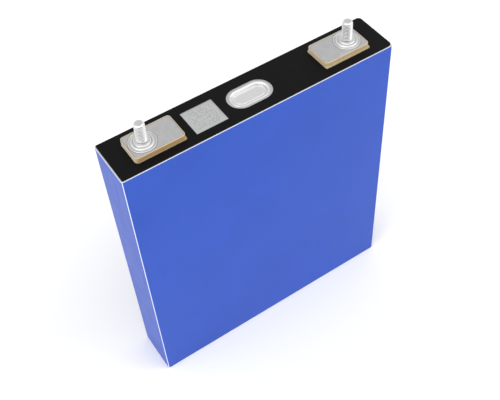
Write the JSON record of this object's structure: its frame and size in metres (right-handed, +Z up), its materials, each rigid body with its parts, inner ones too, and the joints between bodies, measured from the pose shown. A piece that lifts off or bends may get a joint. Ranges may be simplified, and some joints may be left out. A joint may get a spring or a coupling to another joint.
{
  "type": "prismatic battery cell",
  "caption": "Flat rectangular lithium cell in a blue film wrap, with a black lid sheet, an oval safety vent, inset terminal plates and upright threaded studs.",
  "frame": {"origin": "centre of the underside of the outer film, which the cell stands on", "axes": "+Z up through the lid and along the studs; X along the wide side, negative terminal at -X and positive at +X; Y through the thickness, front broad face towards -Y"},
  "size_m": [0.174, 0.0308, 0.2107],
  "materials": {
    "blue_film": "satin plastic film, stretched tight, whitened where it bends",
    "black_sheet": "fine matt",
    "can_aluminium": "drawn, dull",
    "lid_aluminium": "rolled, fine matt",
    "vent_aluminium": "pressed, bright",
    "terminal_aluminium": "milled, fine matt with faint mottling",
    "stud_metal": "turned and rolled thread, bright",
    "terminal_plastic": "natural amber moulding, satin",
    "seal_rubber": "matt",
    "inner_plastic": "natural moulding, matt",
    "copper": "rolled copper, dull",
    "inner_aluminium": "rolled, dull",
    "bag_film": "thin clear film, slightly milky",
    "cathode_coating": "pressed powder, matt dark grey",
    "anode_coating": "pressed graphite, matt black",
    "separator_film": "thin microporous film, matt white"
  },
  "bodies": {
    "root": {"wrap_film": "blue_film", "can": "can_aluminium", "lid_plate": "lid_aluminium", "vent_membrane": "vent_aluminium", "fill_plug": "seal_rubber", "fill_cap": "inner_aluminium", "top_insulation_sheet": "black_sheet", "negative_terminal_frame": "terminal_plastic", "negative_terminal_plate": "terminal_aluminium", "negative_terminal_stud": "stud_metal", "negative_terminal_post": "copper", "negative_seal_ring": "seal_rubber", "negative_lower_insulator": "inner_plastic", "negative_collector": "copper", "negative_tab_front": "copper", "negative_tab_back": "copper", "positive_terminal_frame": "terminal_plastic", "positive_terminal_plate": "terminal_aluminium", "positive_terminal_stud": "stud_metal", "positive_terminal_post": "inner_aluminium", "positive_seal_ring": "seal_rubber", "positive_lower_insulator": "inner_plastic", "positive_collector": "inner_aluminium", "positive_tab_front": "inner_aluminium", "positive_tab_back": "inner_aluminium", "insulating_bag": "bag_film", "bottom_support": "inner_plastic", "front_core_inner_separator": "separator_film", "front_core_anode": "anode_coating", "front_core_outer_separator": "separator_film", "front_core_cathode": "cathode_coating", "back_core_inner_separator": "separator_film", "back_core_anode": "anode_coating", "back_core_outer_separator": "separator_film", "back_core_cathode": "cathode_coating"}
  },
  "joints": []
}
